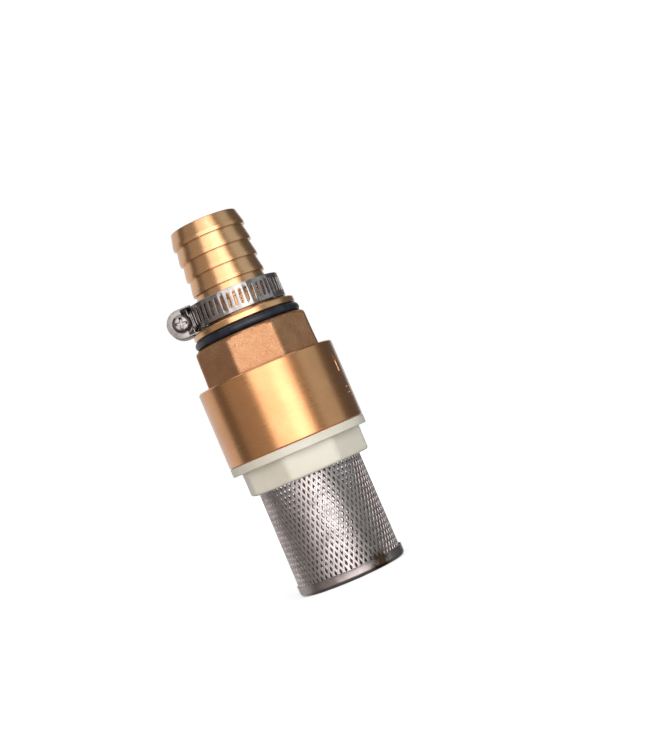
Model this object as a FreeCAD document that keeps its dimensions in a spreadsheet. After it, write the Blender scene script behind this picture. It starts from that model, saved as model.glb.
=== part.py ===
"""Brass foot valve for a 25 mm suction hose: an inline spring check valve with a strainer
screwed in below, a barbed hose tail screwed in above, and a worm-drive hose clamp.

Every piece is a document object of its own, sized from the sheet "Dims" and placed in one
frame: +Z up along the valve's axis, the origin at the centre of the strainer cap's underside.
Lengths are in millimetres. The side that faces -Y is called the front.
"""

import FreeCAD, Part
import math
import os
import re

import Sketcher

DIMS = {
    # strainer: pressed cap, expanded-metal tube and moulded adapter
    "cap_rad": 18.35, "cap_height": 3.6, "cap_wall": 0.35, "cap_floor": 0.5, "cap_edge": 1.0,
    "mesh_rad": 18.0, "mesh_wall": 0.7, "mesh_height": 32.5, "mesh_socket": 3.9,
    "nut_flats": 40.0, "nut_height": 8.3, "nut_edge": 1.0, "nut_turn": 6.7,
    "flange_rad": 23.5, "flange_height": 2.8, "flange_edge": 0.35,
    "adapter_lip": 1.0, "adapter_bore": 12.8, "lip_start": 0.5, "lip_end": 7.3,
    # G1 parallel threads: plain bores, and ridges of the thread's pitch on the spigots
    "pitch": 2.309, "thread_rad": 16.55, "thread_root": 15.15, "thread_bore": 16.7,
    "crest_width": 0.35, "ridge_width": 1.94, "thread_turns": 4.0,
    # barrel
    "barrel_rad": 23.5, "barrel_height": 26.5, "barrel_edge": 0.4,
    "inlet_depth": 10.8, "web_height": 2.2, "port_rad": 12.25,
    "lip_width": 0.9, "lip_height": 0.48, "lip_slope": 0.3, "lip_round": 0.2,
    "seat_gap": 0.02, "chamber_rad": 19.5, "chamber_height": 5.5, "bonnet_bore": 20.55,
    "gasket_rad": 18.9, "gasket_recess": 19.0, "gasket_height": 1.5, "gasket_gap": 0.02,
    "gasket_play": 0.1,
    # marks cut into the barrel: an arrow above two bars
    "mark_turn": 67.0, "mark_depth": 0.3, "mark_line": 0.45, "arrow_foot": 15.6,
    "arrow_neck": 19.4, "arrow_tip": 22.2, "arrow_half": 1.5, "bar_half": 1.3,
    "low_bar": 8.0, "high_bar": 10.0,
    # bonnet: the octagonal outlet piece
    "octagon_flats": 38.5, "octagon_height": 13.0, "octagon_taper": 1.7, "octagon_top": 18.0,
    "octagon_turn": 44.0, "corner_reach": 5.22, "corner_slope": 0.6,
    "skirt_rad": 20.5, "skirt_inner": 18.4, "ring_height": 1.0,
    "guide_seat": 16.45, "shelf_rad": 13.5, "shelf_height": 1.8, "shelf_rise": 1.9,
    "skirt_depth": 1.2, "skirt_slope": 0.8,
    # stem guide, poppet, its seal and the return spring
    "guide_rad": 16.4, "guide_rim": 13.9, "guide_height": 1.8, "guide_arm": 2.2,
    "arm_start": 1.0, "arm_bite": 0.5,
    "hub_rad": 4.2, "hub_bore": 2.56, "hub_down": 3.2, "hub_up": 1.8,
    "disc_rad": 14.8, "disc_height": 2.0, "disc_edge": 0.6, "boss_rad": 4.0, "boss_height": 0.8,
    "stem_rad": 2.5, "stem_height": 15.2, "stem_edge": 0.5, "pilot_rad": 3.0,
    "screw_hole": 1.25, "screw_reach": 6.0, "screw_spare": 0.5, "screw_gap": 0.01,
    "seal_rad": 14.3, "seal_height": 1.5, "seal_hole": 3.05,
    "washer_rad": 9.5, "washer_height": 1.2, "washer_hole": 1.6, "washer_edge": 0.4,
    "screw_head": 2.7, "screw_head_height": 1.6, "screw_edge": 0.3,
    "slot_width": 0.7, "slot_depth": 0.8,
    "wire": 0.8, "coil_rad": 7.4, "coils": 3.5, "coil_play": 0.05,
    # hose tail and its O-ring
    "oring_space": 3.0, "oring_rad": 16.85, "oring_section": 1.45,
    "collar_rad": 17.7, "collar_height": 2.4, "collar_edge": 0.4, "neck_rad": 15.2,
    "tail_bore": 9.8, "tail_neck": 11.8, "tail_neck_height": 6.0,
    "barb_rad": 12.5, "barb_root": 11.7, "barb_pitch": 5.5, "barb_land": 1.2,
    "tail_tip": 11.4, "bore_chamfer": 0.7,
    # hose clamp, open to the hose's outside diameter
    "clamp_turn": 180.0, "clamp_lift": 0.05, "band_rad": 15.1, "band_wall": 0.6,
    "band_width": 7.9, "layer_gap": 0.1, "lap_start": -20.0, "lap_sweep": 104.0,
    "joggle_sweep": 3.0,
    "band_slots": 48, "band_slot_width": 0.9, "band_slot_height": 5.0, "band_slot_lean": 5.7,
    "shell_centre": 19.3, "shell_rad": 4.85, "shell_wall": 0.55, "shell_length": 11.0,
    "shell_inside": 14.45, "end_wall": 0.5, "end_bite": 0.2, "end_edge": 18.2,
    "end_hole": 1.9, "saddle_wall": 0.6, "saddle_gap": 0.05, "saddle_sweep": 44.0,
    "worm_rad": 3.4, "worm_root": 2.7, "worm_length": 9.8, "worm_pitch": 2.1,
    "worm_crest": 0.3, "worm_foot": 0.7, "worm_play": 0.1, "worm_neck": 1.8,
    "worm_head": 3.0, "worm_head_height": 2.2, "worm_head_edge": 0.7, "worm_button": 2.4,
    "worm_button_height": 0.6, "worm_button_edge": 0.2, "cross_width": 0.9,
    "cross_length": 3.6, "cross_depth": 1.3,
    # longer than any through cut needs
    "through": 20.0,
}

# heights above the underside of the cap, stacked from the lengths in the sheet
ADAPTER_Z = "cap_height + mesh_height"
BARREL_Z = ADAPTER_Z + " + nut_height + flange_height"
SEAT_Z = BARREL_Z + " + inlet_depth + web_height + lip_height + seat_gap"
DISC_Z = SEAT_Z + " + seal_height"
BONNET_Z = BARREL_Z + " + barrel_height"
GUIDE_Z = BONNET_Z + " + shelf_rise - guide_height"
ORING_Z = BONNET_Z + " + octagon_height"
TAIL_Z = ORING_Z + " + oring_space"
CLAMP_Z = TAIL_Z + " + collar_height + clamp_lift + shell_rad"

THREAD_RIDGES = 4
BARBS = 5
GUIDE_ARMS = 4
WORM_RIDGES = 5
CHANGE = 1e-3  # the least volume that a feature has to add or take away

doc = FreeCAD.newDocument("FootValve")
sheet = doc.addObject("Spreadsheet::Sheet", "Dims")
for row, (alias, number) in enumerate(DIMS.items(), 1):
    sheet.set(f"A{row}", alias)
    sheet.set(f"B{row}", str(number))
    sheet.setAlias(f"B{row}", alias)
doc.recompute()


def bound(text):
    """An expression in the sheet's aliases, as the expression engine reads it."""
    return re.sub(r"[a-z_]+", lambda m: "Dims." + m[0] if m[0] in DIMS else m[0], text)


def value(text):
    return float(sheet.evalExpression(bound(text)))


def new_body(label, z="0", x="0", turn=None):
    """A body with its Placement bound to the sheet: moved along X and Z, turned about Z."""
    body = doc.addObject("PartDesign::Body", label)
    body.Label = label
    body.setExpression("Placement.Base.z", bound(z))
    body.setExpression("Placement.Base.x", bound(x))
    if turn:
        about_z = FreeCAD.Rotation(FreeCAD.Vector(0, 0, 1), value(turn))
        body.Placement = FreeCAD.Placement(FreeCAD.Vector(), about_z)
        body.setExpression("Placement.Rotation.Angle", bound(turn))
    return body


def new_sketch(body, role, name, rise="0", turn="0"):
    """A sketch on one of the body's own origin planes.

    rise moves it along the plane's normal, and turn swings it about the sketch's upright.
    """
    sketch = body.newObject("Sketcher::SketchObject", name)
    plane = next(f for f in body.Origin.OriginFeatures if f.Role == role)
    sketch.AttachmentSupport = (plane, [""])
    sketch.MapMode = "FlatFace"
    upright = FreeCAD.Rotation(FreeCAD.Vector(0, 1, 0), value(turn))
    sketch.AttachmentOffset = FreeCAD.Placement(FreeCAD.Vector(0, 0, value(rise)), upright)
    if rise != "0":
        sketch.setExpression("AttachmentOffset.Base.z", bound(rise))
    if turn != "0":
        sketch.setExpression("AttachmentOffset.Rotation.Angle", bound(turn))
    return sketch


def bind(sketch, constraint, text):
    """Add a dimension and tie it to the sheet."""
    index = sketch.addConstraint(constraint)
    sketch.setExpression(f"Constraints[{index}]", bound(text))


def outline(sketch, corners, arcs=None):
    """A closed outline through corners, each an (across, up) pair of expressions.

    arcs maps a side's number to its centre and radius, and to 1 if it runs anticlockwise or
    -1 if clockwise. Every other side is straight.
    """
    arcs = arcs or {}
    first = sketch.GeometryCount
    spots = [FreeCAD.Vector(value(x), value(y), 0) for x, y in corners]
    ends = {}
    for side, start in enumerate(spots):
        stop = spots[(side + 1) % len(spots)]
        if side in arcs:
            cx, cy, radius, way = arcs[side]
            centre = FreeCAD.Vector(value(cx), value(cy), 0)
            angles = [math.atan2(p.y - centre.y, p.x - centre.x) for p in (start, stop)]
            if way < 0:
                angles.reverse()
            circle = Part.Circle(centre, FreeCAD.Vector(0, 0, 1), value(radius))
            sketch.addGeometry(Part.ArcOfCircle(circle, *angles), False)
            ends[side] = (1, 2) if way > 0 else (2, 1)
        else:
            sketch.addGeometry(Part.LineSegment(start, stop), False)
            ends[side] = (1, 2)
    count = len(spots)
    for side in range(count):
        after = (side + 1) % count
        pair = (first + side, ends[side][1], first + after, ends[after][0])
        sketch.addConstraint(Sketcher.Constraint("Coincident", *pair))
    for side, (x, y) in enumerate(corners):
        at = (first + side, ends[side][0])
        bind(sketch, Sketcher.Constraint("DistanceX", -1, 1, *at, spots[side].x), x)
        bind(sketch, Sketcher.Constraint("DistanceY", -1, 1, *at, spots[side].y), y)
    for side, (cx, cy, _, _) in arcs.items():
        chord = spots[(side + 1) % count] - spots[side]
        way, text = ("DistanceY", cy) if abs(chord.x) > abs(chord.y) else ("DistanceX", cx)
        bind(sketch, Sketcher.Constraint(way, -1, 1, first + side, 3, value(text)), text)


def circle(sketch, radius, x="0", y="0"):
    """A circle about a bound centre."""
    centre = FreeCAD.Vector(value(x), value(y), 0)
    shape = Part.Circle(centre, FreeCAD.Vector(0, 0, 1), value(radius))
    index = sketch.addGeometry(shape, False)
    bind(sketch, Sketcher.Constraint("DistanceX", -1, 1, index, 3, centre.x), x)
    bind(sketch, Sketcher.Constraint("DistanceY", -1, 1, index, 3, centre.y), y)
    bind(sketch, Sketcher.Constraint("Radius", index, shape.Radius), radius)


def octagon(sketch, flats):
    """A regular octagon about the origin, with a flat square to each axis."""
    half, side = f"({flats}) / 2", f"({flats}) / 2 * tan(22.5)"
    corners = [(half, side), (side, half)]
    corners += [(f"-{x}", y) for x, y in reversed(corners)]
    corners += [(x, f"-{y}") for x, y in reversed(corners)]
    outline(sketch, corners)


def rectangle(sketch, left, low, right, high):
    outline(sketch, [(left, low), (right, low), (right, high), (left, high)])


def changed(body, feature, adds):
    """Recompute, and stop unless the feature added or took material as it should."""
    before = feature.BaseFeature.Shape.Volume if feature.BaseFeature else 0.0
    doc.recompute()
    gain = feature.Shape.Volume - before
    if (gain > 0) != adds or abs(gain) < CHANGE:
        raise RuntimeError(f"{body.Label}.{feature.Name} changed the volume by {gain:.4f}")


def turned(body, name, corners, cut=False, start="0", sweep=None, role="XZ_Plane"):
    """Revolve an outline of (radius, distance) corners: about Z, or about Y on XY_Plane."""
    sketch = new_sketch(body, role, name + "_profile", turn=start)
    outline(sketch, corners)
    kind = "PartDesign::Groove" if cut else "PartDesign::Revolution"
    feature = body.newObject(kind, name)
    feature.Profile = sketch
    feature.ReferenceAxis = (sketch, ["V_Axis"])
    feature.Angle = 360.0
    if sweep:
        feature.setExpression("Angle", bound(sweep))
    changed(body, feature, not cut)
    return feature


def extruded(body, name, draw, length, role="XY_Plane", rise="0", cut=False, flip=False,
             taper=None):
    """Pad or pocket what draw(sketch) puts on an origin plane, moved by rise."""
    sketch = new_sketch(body, role, name + "_outline", rise=rise)
    draw(sketch)
    feature = body.newObject("PartDesign::Pocket" if cut else "PartDesign::Pad", name)
    feature.Profile = sketch
    feature.setExpression("Length", bound(length))
    feature.Reversed = flip
    if taper:
        feature.setExpression("TaperAngle", bound(taper))
    changed(body, feature, not cut)
    return feature


def repeated(body, name, feature, count, axis="Z_Axis"):
    """Polar pattern of a feature about one of the body's origin axes."""
    pattern = body.newObject("PartDesign::PolarPattern", name)
    pattern.Originals = [feature]
    line = next(f for f in body.Origin.OriginFeatures if f.Role == axis)
    pattern.Axis = (line, [""])
    pattern.Angle = 360.0
    pattern.Occurrences = count
    body.Tip = pattern
    doc.recompute()
    return pattern


def edged(body, name, kind, size, wanted):
    """Fillet or chamfer the edges of the body's tip that wanted(edge) picks."""
    base = body.Tip
    picked = [f"Edge{i}" for i, e in enumerate(base.Shape.Edges, 1) if wanted(e)]
    if not picked:
        raise RuntimeError(f"{body.Label}.{name} found no edges")
    feature = body.newObject("PartDesign::" + kind, name)
    feature.Base = (base, picked)
    feature.setExpression("Radius" if kind == "Fillet" else "Size", bound(size))
    body.Tip = feature
    doc.recompute()
    return feature


def is_ring(edge, radius, height):
    """Whether an edge is a full circle of this radius about Z at this local height."""
    round_edge = isinstance(edge.Curve, Part.Circle) and len(edge.Vertexes) == 1
    if not round_edge or abs(edge.Curve.Radius - value(radius)) > 1e-3:
        return False
    return abs(edge.Curve.Center.z - value(height)) < 1e-3


def thread_ridges(top, downwards=True):
    """Corners of a ridged spigot, from its root at height top, one ridge per thread turn."""
    sign = "-" if downwards else "+"
    corners = []
    for turn in range(THREAD_RIDGES):
        base = f"{top} {sign} pitch * {turn + 0.5}"
        for radius, shift in (
            ("thread_root", "-ridge_width / 2"),
            ("thread_rad", "-crest_width / 2"),
            ("thread_rad", "crest_width / 2"),
            ("thread_root", "ridge_width / 2"),
        ):
            height = f"{base} {sign} ({shift})"
            corners.append((radius, height))
    return corners


def strainer_cap():
    body = new_body("strainer_cap")
    turned(body, "cup", [
        ("0", "0"), ("cap_rad", "0"), ("cap_rad", "cap_height"),
        ("cap_rad - cap_wall", "cap_height"), ("cap_rad - cap_wall", "cap_floor"),
        ("0", "cap_floor"),
    ])
    edged(body, "rolled_edge", "Fillet", "cap_edge", lambda e: is_ring(e, "cap_rad", "0"))


def strainer_mesh():
    body = new_body("strainer_mesh", z="cap_floor")
    height = "cap_height - cap_floor + mesh_height + mesh_socket"
    turned(body, "tube", [
        ("mesh_rad - mesh_wall", "0"), ("mesh_rad", "0"),
        ("mesh_rad", height), ("mesh_rad - mesh_wall", height),
    ])


def strainer_adapter():
    """Moulded adapter: octagonal nut below, flange, and a threaded spigot above."""
    body = new_body("strainer_adapter", z=ADAPTER_Z, turn="nut_turn")
    extruded(body, "nut", lambda s: octagon(s, "nut_flats"), "nut_height")
    edged(body, "nut_round", "Fillet", "nut_edge", lambda e: e.BoundBox.ZMax < 0.01)
    top = "nut_height + flange_height"
    extruded(body, "flange", lambda s: circle(s, "flange_rad"), "flange_height",
             rise="nut_height")
    edged(body, "flange_round", "Fillet", "flange_edge",
          lambda e: is_ring(e, "flange_rad", "nut_height"))
    end = f"{top} + pitch * thread_turns"
    turned(body, "spigot", [("0", top), ("thread_root", top)]
           + thread_ridges(top, downwards=False) + [("thread_root", end), ("0", end)])
    turned(body, "waterway", [
        ("0", "0"), ("mesh_rad", "0"), ("mesh_rad", "mesh_socket"),
        ("mesh_rad - mesh_wall", "mesh_socket"), ("mesh_rad - mesh_wall", "lip_start"),
        ("mesh_rad - mesh_wall - adapter_lip", "lip_start"),
        ("mesh_rad - mesh_wall - adapter_lip", "lip_end"),
        ("adapter_bore", top), ("adapter_bore", end), ("0", end),
    ], cut=True)


def inlet_gasket():
    body = new_body("inlet_gasket", z=BARREL_Z)
    inner, top = "thread_rad + gasket_play", "gasket_height - gasket_gap"
    turned(body, "ring", [
        (inner, "gasket_gap"), ("gasket_rad", "gasket_gap"), ("gasket_rad", top), (inner, top),
    ])


def valve_body():
    """Turned barrel: inlet socket, seat web with a raised lip, chamber and bonnet thread."""
    body = new_body("valve_body", z=BARREL_Z, turn="mark_turn")
    web = "inlet_depth + web_height"
    step = f"{web} + chamber_height"
    turned(body, "barrel", [
        ("port_rad", "inlet_depth"), ("thread_bore", "inlet_depth"),
        ("thread_bore", "gasket_height"), ("gasket_recess", "gasket_height"),
        ("gasket_recess", "0"), ("barrel_rad", "0"), ("barrel_rad", "barrel_height"),
        ("bonnet_bore", "barrel_height"), ("bonnet_bore", step), ("chamber_rad", step),
        ("chamber_rad", web), ("port_rad + 2 * lip_width", web),
        ("port_rad + lip_width + lip_slope", f"{web} + lip_height"),
        ("port_rad + lip_round", f"{web} + lip_height"),
        ("port_rad", f"{web} + lip_height - lip_round"),
    ])
    edged(body, "rims", "Chamfer", "barrel_edge",
          lambda e: is_ring(e, "barrel_rad", "0") or is_ring(e, "barrel_rad", "barrel_height"))

    def flow_marks(sketch):
        """Plain arrow that points the way the water leaves, above two bars."""
        half = "mark_line / 2"
        outline(sketch, [
            (f"-({half})", "arrow_foot"), (half, "arrow_foot"), (half, "arrow_neck"),
            ("arrow_half", "arrow_neck"), ("0", "arrow_tip"), ("-arrow_half", "arrow_neck"),
            (f"-({half})", "arrow_neck"),
        ])
        for bar in ("low_bar", "high_bar"):
            rectangle(sketch, "-bar_half", bar, "bar_half", f"{bar} + mark_line")

    extruded(body, "marks", flow_marks, "barrel_rad", role="XZ_Plane",
             rise="barrel_rad - mark_depth", cut=True, flip=True)


def outlet_bonnet():
    """Cast octagon with the outlet thread, on a skirt that screws into the barrel."""
    body = new_body("outlet_bonnet", z=BONNET_Z, turn="octagon_turn")
    extruded(body, "octagon", lambda s: octagon(s, "octagon_flats"), "octagon_height",
             taper="-octagon_taper")
    beyond = "octagon_top + corner_reach"
    turned(body, "corner_chamfer", [
        ("octagon_top", "octagon_height"), (beyond, "octagon_height"),
        (beyond, "octagon_height - corner_reach * corner_slope"),
    ], cut=True)
    bottom = "web_height + inlet_depth + chamber_height + ring_height - barrel_height"
    turned(body, "skirt", [
        ("0", bottom), ("skirt_rad", bottom), ("skirt_rad", "0"), ("0", "0"),
    ])
    turned(body, "waterway", [
        ("0", bottom), ("skirt_inner", bottom), ("skirt_inner", "-skirt_depth"),
        ("guide_seat", "-skirt_depth + skirt_slope"), ("guide_seat", "shelf_rise"),
        ("shelf_rad", "shelf_rise"), ("shelf_rad", "shelf_rise + shelf_height"),
        ("thread_bore", "shelf_rise + shelf_height"),
        ("thread_bore", "octagon_height"), ("0", "octagon_height"),
    ], cut=True)


def bonnet_gasket():
    body = new_body("bonnet_gasket", z=BARREL_Z + " + inlet_depth + web_height + chamber_height")
    turned(body, "ring", [
        ("chamber_rad", "0"), ("skirt_rad", "0"),
        ("skirt_rad", "ring_height"), ("chamber_rad", "ring_height"),
    ])


def stem_guide():
    """Moulded spider: a rim against the bonnet's shelf and a hub that the stem slides in."""
    body = new_body("stem_guide", z=GUIDE_Z)
    turned(body, "rim", [
        ("guide_rim", "0"), ("guide_rad", "0"), ("guide_rad", "guide_height"),
        ("guide_rim", "guide_height"),
    ])
    turned(body, "hub", [
        ("0", "-hub_down"), ("hub_rad", "-hub_down"),
        ("hub_rad", "guide_height + hub_up"), ("0", "guide_height + hub_up"),
    ])
    arm = extruded(body, "arm", lambda s: rectangle(
        s, "arm_start", "-guide_arm / 2", "guide_rim + arm_bite", "guide_arm / 2"),
        "guide_height")
    repeated(body, "arms", arm, GUIDE_ARMS)
    extruded(body, "stem_hole", lambda s: circle(s, "hub_bore"), "through",
             rise="-through / 2", cut=True, flip=True)


def poppet():
    """Disc with a guide stem above and a pilot below for the seal and its screw."""
    body = new_body("poppet", z=DISC_Z)
    turned(body, "disc_and_stem", [
        ("0", "-seal_height"), ("pilot_rad", "-seal_height"), ("pilot_rad", "0"),
        ("disc_rad", "0"), ("disc_rad", "disc_height - disc_edge"),
        ("disc_rad - disc_edge", "disc_height"), ("boss_rad", "disc_height"),
        ("boss_rad", "disc_height + boss_height"), ("stem_rad", "disc_height + boss_height"),
        ("stem_rad", "stem_height - stem_edge"), ("stem_rad - stem_edge", "stem_height"),
        ("0", "stem_height"),
    ])
    extruded(body, "screw_hole", lambda s: circle(s, "screw_hole"), "screw_reach",
             rise="-seal_height", cut=True, flip=True)


def poppet_seal():
    body = new_body("poppet_seal", z=SEAT_Z)
    turned(body, "ring", [
        ("seal_hole", "0"), ("seal_rad", "0"), ("seal_rad", "seal_height"),
        ("seal_hole", "seal_height"),
    ])


def seal_retainer():
    body = new_body("seal_retainer", z=SEAT_Z + " - washer_height")
    turned(body, "washer", [
        ("washer_hole", "0"), ("washer_rad - washer_edge", "0"), ("washer_rad", "washer_edge"),
        ("washer_rad", "washer_height"), ("washer_hole", "washer_height"),
    ])


def retainer_screw():
    """Slotted cheese-head screw, driven up into the poppet from below."""
    body = new_body("retainer_screw", z=SEAT_Z + " - washer_height")
    shank = "washer_height + screw_reach - screw_spare"
    turned(body, "screw", [
        ("0", "-screw_head_height"), ("screw_head - screw_edge", "-screw_head_height"),
        ("screw_head", "-screw_head_height + screw_edge"), ("screw_head", "0"),
        ("screw_hole - screw_gap", "0"), ("screw_hole - screw_gap", shank), ("0", shank),
    ])
    extruded(body, "slot", lambda s: rectangle(
        s, "-through / 2", "-slot_width / 2", "through / 2", "slot_width / 2"),
        "slot_depth", rise="-screw_head_height", cut=True, flip=True)


def return_spring():
    """Round wire swept along a helix between the poppet's disc and the stem guide."""
    body = new_body("return_spring", z=DISC_Z + " + disc_height + wire / 2 + coil_play")
    sketch = new_sketch(body, "XZ_Plane", "wire_section")
    circle(sketch, "wire / 2", x="coil_rad")
    coil = body.newObject("PartDesign::AdditiveHelix", "coil")
    coil.Profile = sketch
    coil.ReferenceAxis = (sketch, ["V_Axis"])
    coil.Mode = "height-turns-growth"
    free = f"({GUIDE_Z}) - ({DISC_Z}) - disc_height - wire - 2 * coil_play"
    coil.setExpression("Height", bound(free))
    coil.setExpression("Turns", bound("coils"))
    body.Tip = coil
    doc.recompute()


def tail_o_ring():
    body = new_body("tail_o_ring", z=ORING_Z + " + oring_space / 2")
    sketch = new_sketch(body, "XZ_Plane", "section")
    circle(sketch, "oring_section", x="oring_rad")
    ring = body.newObject("PartDesign::Revolution", "ring")
    ring.Profile = sketch
    ring.ReferenceAxis = (sketch, ["V_Axis"])
    ring.Angle = 360.0
    changed(body, ring, True)


def hose_tail():
    """Barbed tail above a collar, and a threaded spigot below it."""
    body = new_body("hose_tail", z=TAIL_Z)
    foot = "-oring_space - pitch * thread_turns"
    first = "collar_height + tail_neck_height"
    top = f"{first} + {BARBS} * barb_pitch"
    corners = [("tail_bore", foot), ("thread_root", foot)]
    corners += list(reversed(thread_ridges("-oring_space")))
    corners += [
        ("neck_rad", "-oring_space"), ("neck_rad", "0"), ("collar_rad", "0"),
        ("collar_rad", "collar_height"), ("tail_neck", "collar_height"),
        ("tail_neck", first),
    ]
    for barb in range(BARBS):
        base = f"{first} + {barb} * barb_pitch"
        corners += [("barb_rad", base), ("barb_rad", f"{base} + barb_land")]
        if barb < BARBS - 1:
            corners.append(("barb_root", f"{base} + barb_pitch"))
    corners += [
        ("tail_tip", top), ("tail_bore + bore_chamfer", top),
        ("tail_bore", f"{top} - bore_chamfer"),
    ]
    turned(body, "tail", corners)
    edged(body, "collar_rims", "Chamfer", "collar_edge",
          lambda e: is_ring(e, "collar_rad", "0") or is_ring(e, "collar_rad", "collar_height"))


def clamp_band():
    """Slotted strip rolled once round, with its free end lapped over the outside."""
    body = new_body("clamp_band", z=CLAMP_Z, turn="clamp_turn")
    low, high = "-band_width / 2", "band_width / 2"
    outer = "band_rad + band_wall + layer_gap"
    turned(body, "first_turn", [
        ("band_rad", low), ("band_rad + band_wall", low),
        ("band_rad + band_wall", high), ("band_rad", high),
    ])
    turned(body, "lapped_end", [
        (outer, low), (f"{outer} + band_wall", low),
        (f"{outer} + band_wall", high), (outer, high),
    ], start="lap_start", sweep="lap_sweep")
    turned(body, "joggle", [
        ("band_rad + band_wall / 2", low), (f"{outer} + band_wall / 2", low),
        (f"{outer} + band_wall / 2", high), ("band_rad + band_wall / 2", high),
    ], start="lap_start", sweep="joggle_sweep")

    def slot(sketch):
        """An upright slot with round ends, leaning as the worm's thread does."""
        lean = "(band_slot_height - band_slot_width) / 2 * tan(band_slot_lean)"
        rise = "(band_slot_height - band_slot_width) / 2"
        half = "band_slot_width / 2"
        outline(sketch, [
            (f"{half} - {lean}", f"-({rise})"), (f"{half} + {lean}", rise),
            (f"-({half}) + {lean}", rise), (f"-({half}) - {lean}", f"-({rise})"),
        ], {1: (lean, rise, half, 1), 3: (f"-({lean})", f"-({rise})", half, 1)})

    cut = extruded(body, "slot", slot, "through", role="XZ_Plane", cut=True, flip=True)
    repeated(body, "slots", cut, int(DIMS["band_slots"]))


def clamp_housing():
    """Bent strap round the worm, its legs hooked over the band's edges, with end walls."""
    body = new_body("clamp_housing", z=CLAMP_Z, turn="clamp_turn")
    inner = "shell_rad - shell_wall"

    def strap(sketch):
        outline(sketch, [
            ("shell_inside", "-shell_rad"), ("shell_centre", "-shell_rad"),
            ("shell_centre", "shell_rad"), ("shell_inside", "shell_rad"),
            ("shell_inside", inner), ("shell_centre", inner),
            ("shell_centre", f"-({inner})"), ("shell_inside", f"-({inner})"),
        ], {1: ("shell_centre", "0", "shell_rad", 1), 5: ("shell_centre", "0", inner, -1)})

    def end_wall(sketch):
        rim = f"{inner} + end_bite"
        hole = "sqrt(end_hole^2 - (shell_centre - end_edge)^2)"
        outline(sketch, [
            ("end_edge", f"-({rim})"), ("shell_centre", f"-({rim})"), ("shell_centre", rim),
            ("end_edge", rim), ("end_edge", hole), ("end_edge", f"-{hole}"),
        ], {1: ("shell_centre", "0", rim, 1), 4: ("shell_centre", "0", "end_hole", -1)})

    extruded(body, "strap", strap, "shell_length", role="XZ_Plane", rise="-shell_length / 2")
    extruded(body, "front_wall", end_wall, "end_wall", role="XZ_Plane",
             rise="-shell_length / 2")
    extruded(body, "back_wall", end_wall, "end_wall", role="XZ_Plane",
             rise="shell_length / 2 - end_wall")


def clamp_saddle():
    """Curved base plate inside the band, between the housing's legs."""
    body = new_body("clamp_saddle", z=CLAMP_Z, turn="clamp_turn")
    half = "shell_rad - shell_wall"
    outer = "band_rad - saddle_gap"
    inner = f"{outer} - saddle_wall"
    turned(body, "plate", [
        (inner, f"-({half})"), (outer, f"-({half})"), (outer, half), (inner, half),
    ], start="-saddle_sweep / 2", sweep="saddle_sweep")


def clamp_screw():
    """Cross-recessed worm screw. Its ridges stand where the thread meets the band's slots."""
    body = new_body("clamp_screw", z=CLAMP_Z, x="-shell_centre", turn="clamp_turn")
    end = "shell_length / 2 + worm_play"
    half = "worm_length / 2"
    corners = [
        ("0", f"-({end}) - worm_button_height"),
        ("worm_button - worm_button_edge", f"-({end}) - worm_button_height"),
        ("worm_button", f"-({end}) - worm_button_height + worm_button_edge"),
        ("worm_button", f"-({end})"),
        ("worm_neck", f"-({end})"), ("worm_neck", f"-({half})"), ("worm_root", f"-({half})"),
    ]
    for ridge in range(WORM_RIDGES):
        middle = f"worm_pitch * ({ridge} - {(WORM_RIDGES - 1) / 2})"
        corners += [
            ("worm_root", f"{middle} - worm_foot / 2"), ("worm_rad", f"{middle} - worm_crest / 2"),
            ("worm_rad", f"{middle} + worm_crest / 2"), ("worm_root", f"{middle} + worm_foot / 2"),
        ]
    corners += [
        ("worm_root", half), ("worm_neck", half), ("worm_neck", end), ("worm_head", end),
        ("worm_head", f"{end} + worm_head_height - worm_head_edge"),
        ("worm_head - worm_head_edge", f"{end} + worm_head_height"),
        ("0", f"{end} + worm_head_height"),
    ]
    turned(body, "worm", corners, role="XY_Plane")
    top = f"-({end}) - worm_head_height"
    for name, wide, tall in (("recess", "cross_length", "cross_width"),
                             ("recess_across", "cross_width", "cross_length")):
        extruded(body, name, lambda s, w=wide, t=tall: rectangle(
            s, f"-{w} / 2", f"-{t} / 2", f"{w} / 2", f"{t} / 2"), "cross_depth",
            role="XZ_Plane", rise=top, cut=True, flip=True)


PIECES = (
    strainer_cap, strainer_mesh, strainer_adapter, inlet_gasket, valve_body, outlet_bonnet,
    bonnet_gasket, stem_guide, poppet, poppet_seal, seal_retainer, retainer_screw,
    return_spring, tail_o_ring, hose_tail, clamp_band, clamp_housing, clamp_saddle, clamp_screw,
)
for build in PIECES:
    build()
doc.recompute()

faults = [o.Name for o in doc.Objects if {"Invalid", "Error"} & set(o.State)]
for piece in PIECES:
    shape = doc.getObject(piece.__name__).Shape
    if shape.isNull() or not shape.isValid() or not shape.Solids:
        faults.append(piece.__name__)
if faults:
    raise RuntimeError("failed: " + ", ".join(faults))

os.makedirs("parts", exist_ok=True)
for piece in PIECES:
    body = doc.getObject(piece.__name__)
    body.Shape.exportStep(f"parts/{body.Label}.step")
    box = body.Shape.optimalBoundingBox()
    print(f"{body.Label}: {body.Shape.Volume:.1f} mm3, {len(body.Shape.Solids)} solid(s),"
          f" z {box.ZMin:.2f} to {box.ZMax:.2f}, x {box.XMin:.2f} to {box.XMax:.2f}")
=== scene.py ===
"""Looks of the brass foot valve: its visible pieces, their finishes, and a plain pale studio.

Outlines are (radius, height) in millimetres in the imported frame, and lengths in finishes, lamps
and camera are metres. The valve stands on the cap of its strainer, +Z up, its front facing -Y.
"""

import math

import bmesh
import bpy
import numpy as np
from mathutils import Matrix, Vector


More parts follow.
